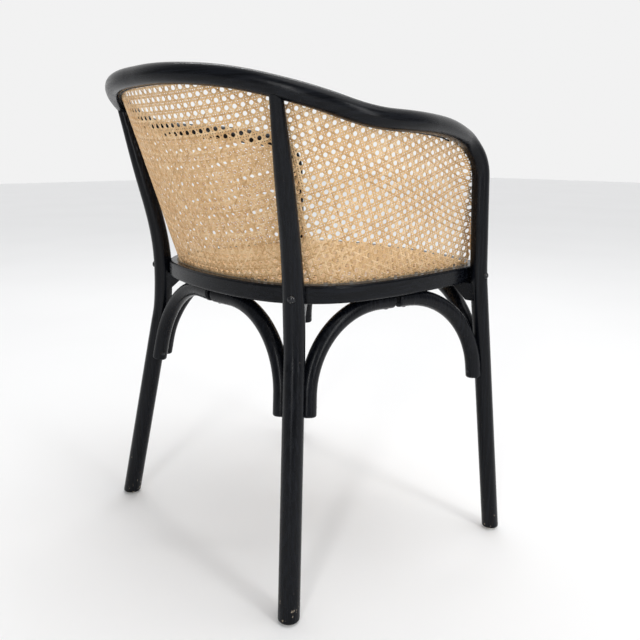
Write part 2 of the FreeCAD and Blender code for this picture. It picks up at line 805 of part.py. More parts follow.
piece("seat_spline", reed_band(
    size("seat_cane_inset") - size("hole_gap") - size("reed_width"),
    size("seat_cane_inset") - size("hole_gap"),
    size("seat_height") + size("reed_proud"),
    size("seat_height") - size("seat_cane_depth")))

# Back cane: one sheet wrapped round the back, foot in the ring, top under the rail
foot_arcs = outline_arcs(size("back_cane_inset"), size("back_cane_front_y"))
foot_wire = Part.Wire([arc.toShape() for arc in foot_arcs])
foot_trail = [Vector(point.x, point.y, size("seat_height"))
              for point in foot_wire.discretize(Number=PATH_STEPS + 1)]
if foot_trail[0].x < 0:
    foot_trail.reverse()
top_start = min(
    (index for index in range(PATH_STEPS // 4)),
    key=lambda index: abs(hoop_trail[index].z - size("post_cane_height"))) / PATH_STEPS


def rail_share(fraction):
    """How far along the rod the sheet is held, by how far round the ring its foot is.

    The sheet fans out up the posts, so the rod's share runs ahead of the ring's."""
    if fraction > 0.5:
        return 1 - rail_share(1 - fraction)
    fan = size("post_fan") * (1 - math.exp(-fraction / size("post_fan_reach")))
    whole = size("post_fan") * (1 - math.exp(-0.5 / size("post_fan_reach")))
    return fraction * (1 - 2 * whole) + fan


def wrap_ends(fraction):
    """Lower and upper end of a straight line of the back cane, and the rod's axis there."""
    foot = foot_trail[round(fraction * PATH_STEPS)]
    axis, along = hoop_at(top_start + rail_share(fraction) * (1 - 2 * top_start))
    to_foot = foot - axis
    to_foot = (to_foot - along * to_foot.dot(along)).normalize()
    to_seat = Vector(-axis.x, -axis.y, 0)
    to_seat = (to_seat - along * to_seat.dot(along)).normalize()
    inward = (to_foot + to_seat * size("cane_inward_pull")).normalize()
    return foot, axis + inward * (hoop_radius + size("cane_rail_gap")), axis


WRAP_STEP = 0.01


def wrap_line(fraction):
    """A line of the back cane: both ends, its direction, the side that faces out, the rod."""
    foot, top, axis = wrap_ends(fraction)
    foot_before, top_before, _ = wrap_ends(max(fraction - WRAP_STEP, 0.0))
    foot_after, top_after, _ = wrap_ends(min(fraction + WRAP_STEP, 1.0))
    rise = (top - foot).normalize()
    along = foot_after + top_after - foot_before - top_before
    outward = along.cross(rise).normalize()
    return foot, top, rise, outward, axis


# The wrap is drawn closer together round the tight bends at its two ends
END_LINES = 8
MIDDLE_LINES = 22
END_SHARE = 0.15
wrap_fractions = [END_SHARE * step / END_LINES for step in range(END_LINES)]
wrap_fractions += [END_SHARE + (1 - 2 * END_SHARE) * step / MIDDLE_LINES
                   for step in range(MIDDLE_LINES + 1)]
wrap_fractions += [1 - END_SHARE * step / END_LINES for step in reversed(range(END_LINES))]


def cane_section(fraction):
    """Outline of the back cane across its thickness, with its foot upright in the groove.

    At its two ends the sheet is cut flat."""
    foot, top, rise, outward, _ = wrap_line(fraction)
    level = (outward * rise.z - rise * outward.z).normalize() * half_cane
    lean = outward * half_cane
    down = Vector(0, 0, size("back_cane_depth"))
    if fraction in (0.0, 1.0):
        upright = outward * outward.z + rise * rise.z
        down = upright * (size("back_cane_depth") / upright.z)
    corners = [foot - level - down, foot + level - down, foot + level, top + lean, top - lean,
               foot - level]
    return Part.makePolygon(corners + corners[:1])


def rail_reed_section(fraction):
    """Outline of the reed beside the cane's top edge, just clear of the rod."""
    _, top, rise, outward, axis = wrap_line(fraction)
    near = half_cane + size("reed_gap")
    far = near + size("rail_reed_width")
    corner = top + outward * far - axis
    reach = corner.dot(rise)
    room = hoop_radius + 2 * size("contact_gap")
    under = max(reach**2 + room**2 - corner.dot(corner), 0.0)
    drop = max(reach + math.sqrt(under), 0.0)
    high = top - rise * drop
    low = high - rise * size("rail_reed_height")
    corners = [low + outward * near, low + outward * far, high + outward * far,
               high + outward * near]
    return Part.makePolygon(corners + corners[:1])


OPENING_COLUMNS = 12
OPENING_ROWS = 4


def back_opening(fraction, share):
    """A square cutter through the back cane, at a share of the height of one of its lines."""
    foot, top, rise, outward, _ = wrap_line(fraction)
    width, height = size("back_opening"), size("back_opening_rise")
    deep = 6 * size("cane_thickness")
    cutter = Part.makeBox(width, height, deep, Vector(-width / 2, -height / 2, -deep / 2))
    across = rise.cross(outward)
    turn = FreeCAD.Matrix(
        across.x, rise.x, outward.x, 0, across.y, rise.y, outward.y, 0,
        across.z, rise.z, outward.z, 0, 0, 0, 0, 1)
    cutter.Placement = Placement(foot + (top - foot) * share, Rotation(turn))
    return cutter


back_openings = [back_opening((column + 1) / (OPENING_COLUMNS + 1), (row + 0.5) / OPENING_ROWS)
                 for column in range(OPENING_COLUMNS) for row in range(OPENING_ROWS)]
back_sheet = Part.makeLoft([cane_section(at) for at in wrap_fractions], True, False)
piece("back_cane", back_sheet.cut(Part.makeCompound(back_openings)))
REED_START = 0.09
piece("back_spline_rail", Part.makeLoft(
    [rail_reed_section(at) for at in wrap_fractions if REED_START < at < 1 - REED_START],
    True, False))


def spline_ring_piece():
    """The reed at the foot of the back cane, from post to post."""
    body, planes = new_body("back_reed")
    sketch = sketch_on(body, planes["XY_Plane"], "back_reed_plan")
    inner = size("back_cane_inset") - half_cane - size("reed_gap")
    add_open_band(sketch, inner - size("reed_width"), inner, size("back_cane_front_y"))
    pad = body.newObject("PartDesign::Pad", "back_reed_pad")
    pad.Profile = sketch
    pad.setExpression("Length", "sizes.back_cane_depth + sizes.reed_proud")
    body.setExpression("Placement.Base.z", "sizes.seat_height - sizes.back_cane_depth")
    body.Label = "back_spline_ring"
    doc.recompute()
    NODES.append(body)


spline_ring_piece()

# Fasteners and glides in their places


def corner_set(rear_shape, front_shape, reach, flip):
    """Four copies on the bolt axes, a distance out from each leg's axis."""
    copies = []
    for shape, seat_point, out, radius in (
            (rear_shape, rear_seat_point, rear_out, rear_radius),
            (front_shape, front_seat_point, front_out, hoop_radius)):
        copy = placed(shape, seat_point + out * reach(radius), out * flip)
        copies += [copy, mirrored(copy)]
    return Part.makeCompound(copies)


piece("leg_bolts", corner_set(
    rear_bolt.Shape, front_bolt.Shape, lambda radius: radius - size("bolt_seat_depth"), 1))
piece("leg_washers", corner_set(
    washer_ring.Shape, washer_ring.Shape, lambda radius: -washer_level(radius), -1))
piece("leg_nuts", corner_set(
    nut_ring.Shape, nut_ring.Shape,
    lambda radius: -washer_level(radius) - size("washer_thickness"), -1))
piece("bracket_screws", Part.makeCompound(
    bracket_screws + [mirrored(screw) for screw in bracket_screws]))

glide_rounded = glide.Shape.makeFillet(size("glide_round"), level_edge(glide.Shape, 0.0))
glides = []
for foot, knee in ((rear_foot, rear_knee), (front_foot, front_seat_point)):
    disc = glide_rounded.copy()
    disc.translate(leg_line(foot, knee, size("glide_height") / 2) - Vector(
        0, 0, size("glide_height") / 2))
    glides += [disc, mirrored(disc)]
piece("foot_glides", Part.makeCompound(glides))

# Checks and output
doc.recompute()
for item in doc.Objects:
    if "Invalid" in item.State or "Error" in item.State:
        raise RuntimeError("%s failed: %s" % (item.Label, item.State))
os.makedirs("parts", exist_ok=True)
for item in NODES:
    if item.Shape.isNull() or not item.Shape.isValid():
        raise RuntimeError(item.Label + " has no valid shape")
for item in NODES:
    item.Shape.exportStep("parts/%s.step" % item.Label)
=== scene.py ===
import math
import bmesh
import bpy
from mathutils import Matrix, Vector
from mathutils.geometry import intersect_line_line_2d


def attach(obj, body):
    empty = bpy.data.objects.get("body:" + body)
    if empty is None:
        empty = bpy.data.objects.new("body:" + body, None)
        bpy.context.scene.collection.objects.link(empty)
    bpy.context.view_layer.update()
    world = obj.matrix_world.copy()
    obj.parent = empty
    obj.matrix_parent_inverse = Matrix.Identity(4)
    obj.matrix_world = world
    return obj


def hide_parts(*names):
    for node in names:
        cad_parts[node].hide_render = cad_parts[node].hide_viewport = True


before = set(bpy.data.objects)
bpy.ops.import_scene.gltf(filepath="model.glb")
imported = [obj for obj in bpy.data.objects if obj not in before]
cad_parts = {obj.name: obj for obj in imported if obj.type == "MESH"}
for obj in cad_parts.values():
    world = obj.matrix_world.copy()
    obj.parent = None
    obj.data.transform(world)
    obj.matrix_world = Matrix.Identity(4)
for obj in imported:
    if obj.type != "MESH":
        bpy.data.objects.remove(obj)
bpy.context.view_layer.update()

# Camera. It stands behind the chair on the sitter's right, a little above the
# arms, and looks down at the seat, as the photograph was taken.
CAMERA_PLACE = Vector((-0.9147, 0.7118, 0.6293))
CAMERA_HEADING = math.radians(-39.17)
CAMERA_TILT = math.radians(12.40)
view_line = Vector((
    math.cos(CAMERA_HEADING) * math.cos(CAMERA_TILT),
    math.sin(CAMERA_HEADING) * math.cos(CAMERA_TILT),
    -math.sin(CAMERA_TILT)))
camera = bpy.data.objects.new("camera", bpy.data.cameras.new("camera"))
bpy.context.scene.collection.objects.link(camera)
camera.location = CAMERA_PLACE
camera.rotation_euler = view_line.to_track_quat("-Z", "Y").to_euler()
camera.data.sensor_width = 36.0
camera.data.lens = 39.28
camera.data.shift_x = 0.0188
camera.data.shift_y = -0.0228
camera.data.clip_start = 0.02
camera.data.clip_end = 60.0
bpy.context.scene.camera = camera

# Floor. A plain pale studio floor, wide enough to run out of every view, with a
# faint unevenness in its matt paint.
FLOOR_REACH = 14.0
floor_mesh = bpy.data.meshes.new("floor")
floor_form = bmesh.new()
bmesh.ops.create_grid(floor_form, x_segments=4, y_segments=4, size=FLOOR_REACH)
floor_form.to_mesh(floor_mesh)
floor_form.free()
floor = bpy.data.objects.new("floor", floor_mesh)
bpy.context.scene.collection.objects.link(floor)
floor_paint = bpy.data.materials.new("floor_paint")
floor_paint.use_nodes = True
floor_shader = floor_paint.node_tree.nodes["Principled BSDF"]
floor_shader.inputs["Roughness"].default_value = 0.85
floor_shader.inputs["Specular IOR Level"].default_value = 0.2
floor_place = floor_paint.node_tree.nodes.new("ShaderNodeTexCoord")
floor_cloud = floor_paint.node_tree.nodes.new("ShaderNodeTexNoise")
floor_cloud.inputs["Scale"].default_value = 1.4
floor_tone = floor_paint.node_tree.nodes.new("ShaderNodeValToRGB")
floor_tone.color_ramp.elements[0].color = (0.86, 0.86, 0.86, 1)
floor_tone.color_ramp.elements[1].color = (0.90, 0.90, 0.90, 1)
floor_paint.node_tree.links.new(floor_place.outputs["Object"], floor_cloud.inputs["Vector"])
floor_paint.node_tree.links.new(floor_cloud.outputs["Fac"], floor_tone.inputs["Fac"])
floor_paint.node_tree.links.new(floor_tone.outputs["Color"], floor_shader.inputs["Base Color"])
floor_mesh.materials.append(floor_paint)

# Light. A white wall behind the chair that falls off to a dimmer room on the
# other side, even soft light from overhead, and narrow panels at both sides and
# above, so that the black rods carry long soft highlights.
WALL_WAY = (0.775, -0.632, 0.0)
WALL_WHITE = (0.887, 0.887, 0.887, 1)
ROOM_GREY = (0.34, 0.345, 0.355, 1)
surround = bpy.data.worlds.new("surround")
bpy.context.scene.world = surround
surround.use_nodes = True
surround_tree = surround.node_tree
surround_way = surround_tree.nodes.new("ShaderNodeTexCoord")
surround_side = surround_tree.nodes.new("ShaderNodeVectorMath")
surround_side.operation = "DOT_PRODUCT"
surround_side.inputs[1].default_value = WALL_WAY
surround_tone = surround_tree.nodes.new("ShaderNodeValToRGB")
surround_tone.color_ramp.elements[0].position = 0.05
surround_tone.color_ramp.elements[0].color = ROOM_GREY
surround_tone.color_ramp.elements[1].position = 0.60
surround_tone.color_ramp.elements[1].color = WALL_WHITE
surround_tree.links.new(surround_way.outputs["Generated"], surround_side.inputs[0])
surround_tree.links.new(surround_side.outputs["Value"], surround_tone.inputs["Fac"])
surround_tree.links.new(
    surround_tone.outputs["Color"], surround_tree.nodes["Background"].inputs["Color"])
surround_tree.nodes["Background"].inputs["Strength"].default_value = 1.0
bpy.context.scene.view_settings.view_transform = "Standard"


def soft_panel(name, place, aim, width, height, power):
    """A soft light panel that points at a spot on the chair."""
    lamp = bpy.data.lights.new(name, "AREA")
    lamp.shape = "RECTANGLE"
    lamp.size = width
    lamp.size_y = height
    lamp.energy = power
    panel = bpy.data.objects.new(name, lamp)
    bpy.context.scene.collection.objects.link(panel)
    panel.location = place
    panel.rotation_euler = (Vector(aim) - Vector(place)).to_track_quat("-Z", "Y").to_euler()


skylight = bpy.data.objects.new("skylight", bpy.data.lights.new("skylight", "SUN"))
bpy.context.scene.collection.objects.link(skylight)
skylight.data.energy = 1.20
skylight.data.angle = math.radians(50)
skylight.rotation_euler = (math.radians(12), math.radians(-16), 0.0)
soft_panel("panel_left", (-2.8, -0.2, 1.5), (0.0, 0.0, 0.45), 0.5, 1.9, 22.0)
soft_panel("panel_right", (-1.7, 2.3, 1.4), (0.0, 0.0, 0.45), 0.3, 2.0, 20.0)
soft_panel("panel_over", (1.30, -1.05, 3.05), (0.0, 0.0, 0.7), 2.4, 0.16, 24.0)

# Bent beech. The hoop, rear legs, ring, brackets and blocks are steam bent or
# sawn beech under a satin black lacquer that lets a faint grain show, rubbed
# pale in a few spots near the feet.
WOOD_BLACK = (0.0010, 0.0014, 0.0026, 1)
WOOD_STREAK = (0.0060, 0.0072, 0.0105, 1)
WOOD_BARE = (0.30, 0.25, 0.19, 1)
GRAIN_FINENESS = 260.0
GRAIN_LENGTH_FINENESS = 9.0
ROUND_GRAIN_FINENESS = 240.0
ROUND_GRAIN_TURNS = 2.2
POST_TOP_HEIGHT = 0.61


def new_material(name):
    """An empty node material with its shader."""
    material = bpy.data.materials.new(name)
    material.use_nodes = True
    return material, material.node_tree, material.node_tree.nodes["Principled BSDF"]


def add_node(tree, kind, **settings):
    """A node with plain values on its sockets."""
    node = tree.nodes.new(kind)
    for name, value in settings.items():
        node.inputs[name.replace("_", " ")].default_value = value
    return node


def math_node(tree, operation, first, second):
    """A sum on two values; each is a socket or a number."""
    node = tree.nodes.new("ShaderNodeMath")
    node.operation = operation
    for socket, value in zip(node.inputs, (first, second)):
        if isinstance(value, (int, float)):
            socket.default_value = value
        else:
            tree.links.new(value, socket)
    return node.outputs[0]


def ramp_node(tree, factor, stops):
    """A colour ramp driven by a value."""
    node = tree.nodes.new("ShaderNodeValToRGB")
    while len(node.color_ramp.elements) < len(stops):
        node.color_ramp.elements.new(0.5)
    for element, (place, colour) in zip(node.color_ramp.elements, stops):
        element.position = place
        element.color = colour
    tree.links.new(factor, node.inputs["Fac"])
    return node.outputs["Color"]


def grain_along_height(tree, place):
    """Coordinates that stretch a pattern up and down a leg."""
    stretch = tree.nodes.new("ShaderNodeMapping")
    stretch.inputs["Scale"].default_value = (
        GRAIN_FINENESS, GRAIN_FINENESS, GRAIN_LENGTH_FINENESS)
    tree.links.new(place.outputs["Object"], stretch.inputs["Vector"])
    return stretch.outputs["Vector"]


def grain_round_seat(tree, place):
    """Coordinates that stretch a pattern round the chair's middle, as bent wood runs."""
    split = tree.nodes.new("ShaderNodeSeparateXYZ")
    tree.links.new(place.outputs["Object"], split.inputs["Vector"])
    turn = math_node(tree, "ARCTAN2", split.outputs["Y"], split.outputs["X"])
    square_x = math_node(tree, "MULTIPLY", split.outputs["X"], split.outputs["X"])
    square_y = math_node(tree, "MULTIPLY", split.outputs["Y"], split.outputs["Y"])
    reach = math_node(tree, "SQRT", math_node(tree, "ADD", square_x, square_y), 0.0)
    join = tree.nodes.new("ShaderNodeCombineXYZ")
    tree.links.new(math_node(tree, "MULTIPLY", reach, ROUND_GRAIN_FINENESS), join.inputs["X"])
    tree.links.new(math_node(tree, "MULTIPLY", turn, ROUND_GRAIN_TURNS), join.inputs["Y"])
    tree.links.new(math_node(tree, "MULTIPLY", split.outputs["Z"], ROUND_GRAIN_FINENESS),
                   join.inputs["Z"])
    return join.outputs["Vector"]


def black_wood(name, run, rubbed_height):
    """Black lacquered beech whose grain runs up a leg, round the seat, or first one
    and then the other for the hoop. Below rubbed_height it is worn pale in specks."""
    material, tree, shader = new_material(name)
    place = tree.nodes.new("ShaderNodeTexCoord")
    if run == "hoop":
        split = tree.nodes.new("ShaderNodeSeparateXYZ")
        tree.links.new(place.outputs["Object"], split.inputs["Vector"])
        lifted = math_node(tree, "SUBTRACT", split.outputs["Z"], POST_TOP_HEIGHT)
        share = tree.nodes.new("ShaderNodeMath")
        share.operation = "MULTIPLY"
        share.use_clamp = True
        share.inputs[1].default_value = 30.0
        tree.links.new(lifted, share.inputs[0])
        blend = tree.nodes.new("ShaderNodeMix")
        blend.data_type = "VECTOR"
        tree.links.new(share.outputs[0], blend.inputs["Factor"])
        tree.links.new(grain_along_height(tree, place), blend.inputs[4])
        tree.links.new(grain_round_seat(tree, place), blend.inputs[5])
        run_vector = blend.outputs[1]
    elif run == "round":
        run_vector = grain_round_seat(tree, place)
    else:
        run_vector = grain_along_height(tree, place)
    grain = add_node(tree, "ShaderNodeTexNoise", Scale=1.0, Detail=4.0, Roughness=0.62)
    tree.links.new(run_vector, grain.inputs["Vector"])
    tone = ramp_node(tree, grain.outputs["Fac"], [(0.38, WOOD_BLACK), (0.72, WOOD_STREAK)])
    # Small rubbed spots low on the legs
    spots = add_node(tree, "ShaderNodeTexNoise", Scale=150.0, Detail=3.0, Roughness=0.7)
    tree.links.new(place.outputs["Object"], spots.inputs["Vector"])
    height = tree.nodes.new("ShaderNodeSeparateXYZ")
    tree.links.new(place.outputs["Object"], height.inputs["Vector"])
    low = tree.nodes.new("ShaderNodeMapRange")
    low.inputs["From Min"].default_value = rubbed_height
    low.inputs["From Max"].default_value = 0.0
    low.inputs["To Min"].default_value = 0.0
    low.inputs["To Max"].default_value = 0.15
    tree.links.new(height.outputs["Z"], low.inputs["Value"])
    bare = math_node(tree, "ADD", spots.outputs["Fac"], low.outputs["Result"])
    mask = ramp_node(tree, bare, [(0.765, (0, 0, 0, 1)), (0.80, (1, 1, 1, 1))])
    colour = tree.nodes.new("ShaderNodeMix")
    colour.data_type = "RGBA"
    tree.links.new(mask, colour.inputs["Factor"])
    tree.links.new(tone, colour.inputs[6])
    colour.inputs[7].default_value = WOOD_BARE
    tree.links.new(colour.outputs[2], shader.inputs["Base Color"])
    gloss = ramp_node(tree, grain.outputs["Fac"],
                      [(0.30, (0.20, 0.20, 0.20, 1)), (0.80, (0.36, 0.36, 0.36, 1))])
    tree.links.new(gloss, shader.inputs["Roughness"])
    shader.inputs["Specular IOR Level"].default_value = 0.17
    relief = add_node(tree, "ShaderNodeBump", Strength=0.10, Distance=0.0004)
    tree.links.new(grain.outputs["Fac"], relief.inputs["Height"])
    tree.links.new(relief.outputs["Normal"], shader.inputs["Normal"])
    return material


leg_wood = black_wood("black_wood_legs", "height", 0.11)
hoop_wood = black_wood("black_wood_hoop", "hoop", 0.09)
ring_wood = black_wood("black_wood_ring", "round", 0.02)
bracket_wood = black_wood("black_wood_brackets", "height", 0.02)


def finish_node(node, material):
    """Puts a material on a piece of the frame."""
    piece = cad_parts[node]
    if piece.material_slots:
        for place in piece.material_slots:
            place.material = material
    else:
        piece.data.materials.append(material)


finish_node("hoop_rail", hoop_wood)
finish_node("seat_ring", ring_wood)
# The back reed under the rail takes the black lacquer, so it shows only as a thin dark line where
# the cane goes in under the rail: painted shade, a black part standing in for the shadow there.
finish_node("back_spline_rail", ring_wood)
for side in ("left", "right"):
    finish_node("rear_leg_" + side, leg_wood)
    finish_node("corner_block_rear_" + side, ring_wood)
    finish_node("corner_block_front_" + side, ring_wood)
    finish_node("bracket_rear_%s_back" % side, bracket_wood)
    finish_node("bracket_rear_%s_side" % side, bracket_wood)
    finish_node("bracket_front_%s_side" % side, bracket_wood)
    finish_node("bracket_front_%s_front" % side, bracket_wood)

# Bolts and screws. Domed steel heads under the same black, rubbed to bare metal
# in specks where a driver or a cloth has touched them.
STEEL_BLACK = (0.016, 0.017, 0.020, 1)
STEEL_BARE = (0.34, 0.33, 0.31, 1)
steel, steel_tree, steel_shader = new_material("blackened_steel")
steel_place = steel_tree.nodes.new("ShaderNodeTexCoord")
steel_specks = add_node(steel_tree, "ShaderNodeTexNoise", Scale=420.0, Detail=3.0, Roughness=0.6)
steel_tree.links.new(steel_place.outputs["Object"], steel_specks.inputs["Vector"])
steel_tree.links.new(
    ramp_node(steel_tree, steel_specks.outputs["Fac"], [(0.60, STEEL_BLACK), (0.74, STEEL_BARE)]),
    steel_shader.inputs["Base Color"])
steel_tree.links.new(
    ramp_node(steel_tree, steel_specks.outputs["Fac"],
              [(0.30, (0.16, 0.16, 0.16, 1)), (0.80, (0.34, 0.34, 0.34, 1))]),
    steel_shader.inputs["Roughness"])
steel_shader.inputs["Metallic"].default_value = 0.6
for node in ("leg_bolts", "leg_washers", "leg_nuts", "bracket_screws"):
    finish_node(node, steel)

# Glides. Pale moulded discs pressed into the ends of the legs, scuffed grey
# where they slide.
GLIDE_PALE = (0.60, 0.59, 0.55, 1)
GLIDE_SCUFF = (0.36, 0.35, 0.33, 1)
glide, glide_tree, glide_shader = new_material("glide_plastic")
glide_place = glide_tree.nodes.new("ShaderNodeTexCoord")
glide_scuffs = add_node(glide_tree, "ShaderNodeTexNoise", Scale=260.0, Detail=4.0, Roughness=0.7)
glide_tree.links.new(glide_place.outputs["Object"], glide_scuffs.inputs["Vector"])
glide_tree.links.new(
    ramp_node(glide_tree, glide_scuffs.outputs["Fac"], [(0.48, GLIDE_PALE), (0.70, GLIDE_SCUFF)]),
    glide_shader.inputs["Base Color"])
glide_shader.inputs["Roughness"].default_value = 0.55
finish_node("foot_glides", glide)

# Reeds. Flat split reed glued into the grooves over the edges of the cane,
# greyed by handling, with its fibres running along it.
REED_PALE = (0.36, 0.29, 0.19, 1)
REED_GREY = (0.22, 0.19, 0.14, 1)
reed, reed_tree, reed_shader = new_material("reed_spline")
reed_place = reed_tree.nodes.new("ShaderNodeTexCoord")
reed_fibre = add_node(reed_tree, "ShaderNodeTexNoise", Scale=1.0, Detail=4.0, Roughness=0.65)
reed_tree.links.new(grain_round_seat(reed_tree, reed_place), reed_fibre.inputs["Vector"])
reed_tree.links.new(
    ramp_node(reed_tree, reed_fibre.outputs["Fac"], [(0.35, REED_GREY), (0.65, REED_PALE)]),
    reed_shader.inputs["Base Color"])
reed_shader.inputs["Roughness"].default_value = 0.6
reed_relief = add_node(reed_tree, "ShaderNodeBump", Strength=0.25, Distance=0.0003)
reed_tree.links.new(reed_fibre.outputs["Fac"], reed_relief.inputs["Height"])
reed_tree.links.new(reed_relief.outputs["Normal"], reed_shader.inputs["Normal"])
finish_node("seat_spline", reed)
finish_node("back_spline_ring", reed)

# Seat cane. Six ways of split rattan strand: pairs up and down, pairs across,
# and two slanting strands that cross on the pairs, which leaves eight sided
# holes. The sheet's rim turns down into the ring's inner groove.
CANE_PITCH = 0.0117
PAIR_SPREAD = 0.15 * CANE_PITCH
PAIR_WIDTH = 0.00205
SLANT_WIDTH = 0.0022
STRAND_THICKNESS = 0.00046
WEAVE_RISE = 0.00024
SLANT_RISE = 0.00046
END_ROOM = 0.0006
SEAT_LEVEL = 0.4511
SEAT_GROOVE_DEPTH = 0.0045
SEAT_RIM_INSET = 0.0261
SHORTEST_SEAT_STRAND = 0.012
BACK_ARC = 0.510
SIDE_ARC = 0.880
FRONT_ARC = 0.518
REAR_CORNER = 0.140
FRONT_CORNER = 0.060
RING_BACK_Y = 0.1755
RING_FRONT_Y = -0.279
RING_SIDE_X = 0.229
RING_WIDEST_Y = -0.061
OUTLINE_STEP = 0.002


def arc_meeting(centre_a, reach_a, centre_b, reach_b, toward_back):
    """Where two circles cross, nearer the back or the front of the chair."""
    across = centre_b - centre_a
    along = (reach_a**2 - reach_b**2 + across.length_squared) / (2 * across.length)
    aside = math.sqrt(reach_a**2 - along**2)
    unit = across.normalized()
    middle = centre_a + unit * along
    found = [middle + Vector((-unit.y, unit.x)) * side * aside for side in (1, -1)]
    return sorted(found, key=lambda point: point.y)[1 if toward_back else 0]


def ring_outline(inset):
    """The ring's outline on the sitter's left, from back to front, moved inwards."""
    back = Vector((0, RING_BACK_Y - BACK_ARC))
    front = Vector((0, RING_FRONT_Y + FRONT_ARC))
    side = Vector((RING_SIDE_X - SIDE_ARC, RING_WIDEST_Y))
    rear_corner = arc_meeting(back, BACK_ARC - REAR_CORNER, side, SIDE_ARC - REAR_CORNER, True)
    front_corner = arc_meeting(
        front, FRONT_ARC - FRONT_CORNER, side, SIDE_ARC - FRONT_CORNER, False)
    arcs = [(back, BACK_ARC), (rear_corner, REAR_CORNER), (side, SIDE_ARC),
            (front_corner, FRONT_CORNER), (front, FRONT_ARC)]
    points = []
    last = math.pi / 2
    ends = [(back, rear_corner), (side, rear_corner), (side, front_corner), (front, front_corner)]
    bearings = [math.atan2((b - a).y, (b - a).x) for a, b in ends] + [-math.pi / 2]
    for (centre, radius), stop in zip(arcs, bearings):
        steps = max(int(abs(stop - last) * radius / OUTLINE_STEP), 2)
        for step in range(steps + 1):
            angle = last + (stop - last) * step / steps
            point = centre + Vector((math.cos(angle), math.sin(angle))) * (radius - inset)
            if not points or (point - points[-1]).length > 1e-6:
                points.append(point)
        last = stop
    return points


def weave_height(kind, along, other):
    """How far a strand lies above the middle of the weave at a place along it.

    Pairs dip over and under the pairs that cross them. Slanting strands pass
    over one set of pairs and under the other."""
    cell = along / CANE_PITCH
    if kind == "pair":
        near = cell - round(cell)
        spread = near * CANE_PITCH / PAIR_SPREAD
        if abs(spread) >= 2:
            return 0.0
        return other * WEAVE_RISE * math.sin(math.pi * spread / 2)
    swing = 1.7 * math.cos(2 * math.pi * (cell - 0.5))
    return other * SLANT_RISE * max(-1.0, min(1.0, swing))


def strand_stops(kind, start, end):
    """Places along a strand where the weave bends it, between its two ends."""
    spread = PAIR_SPREAD / CANE_PITCH
    if kind == "pair":
        shares = (-2 * spread, -spread, spread, 2 * spread)
    else:
        shares = (-spread, spread, 0.5 - spread, 0.5 + spread)
    first = math.floor(start / CANE_PITCH) - 1
    last = math.ceil(end / CANE_PITCH) + 1
    stops = [(cell + share) * CANE_PITCH for cell in range(first, last + 1) for share in shares]
    inner = [stop for stop in stops if start + END_ROOM < stop < end - END_ROOM]
    return [start] + sorted(inner) + [end]


def strand_families(low, high):
    """Every strand of a weave that crosses a region of the flat pattern.

    Each is given by its kind, a starting point, its direction, and which side of
    the sheet it starts on."""
    reach = range(math.floor(min(low) / CANE_PITCH) - 1, math.ceil(max(high) / CANE_PITCH) + 2)
    strands = []
    for cell in reach:
        for side in (-1, 1):
            spot = cell * CANE_PITCH + side * PAIR_SPREAD
            strands.append(("pair", Vector((spot, 0)), Vector((0, 1)), -side))
            strands.append(("pair", Vector((0, spot)), Vector((1, 0)), side))
    for cell in range(2 * reach.start, 2 * reach.stop):
        spot = (cell + 0.5) * CANE_PITCH
        strands.append(("slant", Vector((0, -spot)), Vector((1, 1)), 1))
        strands.append(("slant", Vector((0, spot)), Vector((1, -1)), -1))
    return strands


def lay_strand(form, tint_layer, run_layer, tint, points, acrosses, width, travel):
    """One flat strand: a strip laid along its points, wide across them.

    Each corner keeps the strand's tint and its own place along and across it."""
    count = len(points) - 1
    strip = bmesh.ops.create_grid(form, x_segments=count, y_segments=1, size=1.0)["verts"]
    for corner in strip:
        index = round((corner.co.x + 1) / 2 * count)
        side = 1 if corner.co.y > 0 else -1
        corner.co = points[index] + acrosses[index] * (side * width / 2)
        corner[tint_layer] = tint
        corner[run_layer] = Vector((travel[index], side * width / 2, tint))


def tint_of(number):
    """A repeatable share between 0 and 1 for each strand."""
    return (math.sin(number * 12.9898) * 43758.5453) % 1.0


cane, cane_tree, cane_shader = new_material("woven_cane")
cane_tint = cane_tree.nodes.new("ShaderNodeAttribute")
cane_tint.attribute_name = "strand_tint"
cane_run = cane_tree.nodes.new("ShaderNodeAttribute")
cane_run.attribute_name = "strand_run"
cane_stretch = cane_tree.nodes.new("ShaderNodeMapping")
cane_stretch.inputs["Scale"].default_value = (40.0, 1800.0, 90.0)
cane_tree.links.new(cane_run.outputs["Vector"], cane_stretch.inputs["Vector"])
cane_fibre = add_node(cane_tree, "ShaderNodeTexNoise", Scale=1.0, Detail=3.0, Roughness=0.6)
cane_tree.links.new(cane_stretch.outputs["Vector"], cane_fibre.inputs["Vector"])
cane_mottle = add_node(cane_tree, "ShaderNodeTexNoise", Scale=70.0, Detail=4.0, Roughness=0.6)
cane_place = cane_tree.nodes.new("ShaderNodeTexCoord")
cane_tree.links.new(cane_place.outputs["Object"], cane_mottle.inputs["Vector"])
cane_mix = math_node(
    cane_tree, "ADD",
    math_node(cane_tree, "MULTIPLY", cane_tint.outputs["Fac"], 0.34),
    math_node(cane_tree, "ADD",
              math_node(cane_tree, "MULTIPLY", cane_fibre.outputs["Fac"], 0.42),
              math_node(cane_tree, "MULTIPLY", cane_mottle.outputs["Fac"], 0.26)))
cane_tree.links.new(
    ramp_node(cane_tree, cane_mix, [
        (0.26, (0.50, 0.29, 0.12, 1)), (0.46, (0.70, 0.45, 0.22, 1)),
        (0.62, (0.82, 0.58, 0.33, 1)), (0.80, (0.90, 0.71, 0.47, 1))]),
    cane_shader.inputs["Base Color"])
cane_shader.inputs["Roughness"].default_value = 0.46
cane_shader.inputs["Specular IOR Level"].default_value = 0.35
cane_relief = add_node(cane_tree, "ShaderNodeBump", Strength=0.3, Distance=0.0002)
cane_tree.links.new(cane_fibre.outputs["Fac"], cane_relief.inputs["Height"])
cane_tree.links.new(cane_relief.outputs["Normal"], cane_shader.inputs["Normal"])


